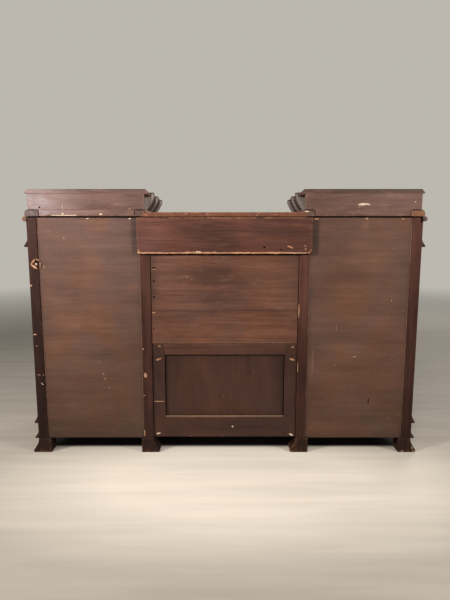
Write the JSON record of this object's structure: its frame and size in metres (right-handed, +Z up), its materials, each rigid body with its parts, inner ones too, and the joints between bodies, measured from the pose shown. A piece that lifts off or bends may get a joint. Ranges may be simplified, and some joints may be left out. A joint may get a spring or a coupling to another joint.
{
  "type": "chiffonier",
  "caption": "Mahogany chiffonier with raised box tops on side cupboards, a lower centre with a niche, panelled doors and frieze drawers, on flared feet.",
  "frame": {"origin": "middle of the footprint, on the floor", "axes": "+X along the width to the right seen from the front, +Y towards the back, +Z up"},
  "size_m": [1.656, 0.482, 1.11],
  "materials": {
    "polished_mahogany": "worn french polish",
    "back_mahogany": "dry, dusty, scuffed",
    "drawer_lining": "bare planed board",
    "brass": "aged brass",
    "iron": "dull rusted iron"
  },
  "bodies": {
    "carcase": {"right_rear_posts": "back_mahogany", "right_front_posts": "polished_mahogany", "right_side_boards": "polished_mahogany", "right_back_panel": "back_mahogany", "right_top_board": "polished_mahogany", "right_box_back": "back_mahogany", "right_box_lid": "polished_mahogany", "left_rear_posts": "back_mahogany", "left_front_posts": "polished_mahogany", "left_side_boards": "polished_mahogany", "left_back_panel": "back_mahogany", "left_top_board": "polished_mahogany", "left_box_back": "back_mahogany", "left_box_lid": "polished_mahogany", "box_walls": "polished_mahogany", "corbels": "polished_mahogany", "cornice_mouldings": "polished_mahogany", "frieze_moulding": "polished_mahogany", "plinth_mouldings": "polished_mahogany", "feet": "polished_mahogany", "plinth_rails": "polished_mahogany", "drawer_rails": "polished_mahogany", "centre_top": "polished_mahogany", "centre_back_rail": "back_mahogany", "centre_back_boards": "back_mahogany", "centre_back_frame": "back_mahogany", "centre_back_panel": "back_mahogany", "pedestal_floors": "drawer_lining", "pedestal_shelves": "drawer_lining", "shelf_bearers": "drawer_lining", "drawer_runners": "drawer_lining", "centre_shelves": "drawer_lining", "centre_floor": "drawer_lining", "hinge_leaves": "brass", "back_frame_screws": "iron"},
    "right_pedestal_door": {"right_pedestal_door_frame": "polished_mahogany", "right_pedestal_door_panel": "polished_mahogany", "right_pedestal_door_brass": "brass", "right_pedestal_door_knob": "polished_mahogany"},
    "right_centre_door": {"right_centre_door_frame": "polished_mahogany", "right_centre_door_panel": "polished_mahogany", "right_centre_door_brass": "brass", "right_centre_door_knob": "polished_mahogany"},
    "right_drawer": {"right_drawer_front": "polished_mahogany", "right_drawer_box": "drawer_lining", "right_drawer_knobs": "polished_mahogany"},
    "left_pedestal_door": {"left_pedestal_door_frame": "polished_mahogany", "left_pedestal_door_panel": "polished_mahogany", "left_pedestal_door_brass": "brass", "left_pedestal_door_knob": "polished_mahogany"},
    "left_centre_door": {"left_centre_door_frame": "polished_mahogany", "left_centre_door_panel": "polished_mahogany", "left_centre_door_brass": "brass", "left_centre_door_knob": "polished_mahogany"},
    "left_drawer": {"left_drawer_front": "polished_mahogany", "left_drawer_box": "drawer_lining", "left_drawer_knobs": "polished_mahogany"},
    "centre_drawer": {"centre_drawer_front": "polished_mahogany", "centre_drawer_box": "drawer_lining", "centre_drawer_knobs": "polished_mahogany"}
  },
  "joints": [
    {"name": "right_pedestal_door_hinge", "type": "hinge", "parent": "carcase", "child": "right_pedestal_door", "pos_m": [0.755, -0.214, 0.5215], "axis": [0, 0, 1], "range_deg": [0, 100]},
    {"name": "right_centre_door_hinge", "type": "hinge", "parent": "carcase", "child": "right_centre_door", "pos_m": [0.3, -0.174, 0.309], "axis": [0, 0, 1], "range_deg": [0, 90]},
    {"name": "right_drawer_slide", "type": "slide", "parent": "carcase", "child": "right_drawer", "axis": [0, -1, 0], "range_m": [0, 0.28]},
    {"name": "left_pedestal_door_hinge", "type": "hinge", "parent": "carcase", "child": "left_pedestal_door", "pos_m": [-0.755, -0.214, 0.5215], "axis": [0, 0, -1], "range_deg": [0, 100]},
    {"name": "left_centre_door_hinge", "type": "hinge", "parent": "carcase", "child": "left_centre_door", "pos_m": [-0.3, -0.174, 0.309], "axis": [0, 0, -1], "range_deg": [0, 90]},
    {"name": "left_drawer_slide", "type": "slide", "parent": "carcase", "child": "left_drawer", "axis": [0, -1, 0], "range_m": [0, 0.28]},
    {"name": "centre_drawer_slide", "type": "slide", "parent": "carcase", "child": "centre_drawer", "axis": [0, -1, 0], "range_m": [0, 0.24]}
  ]
}
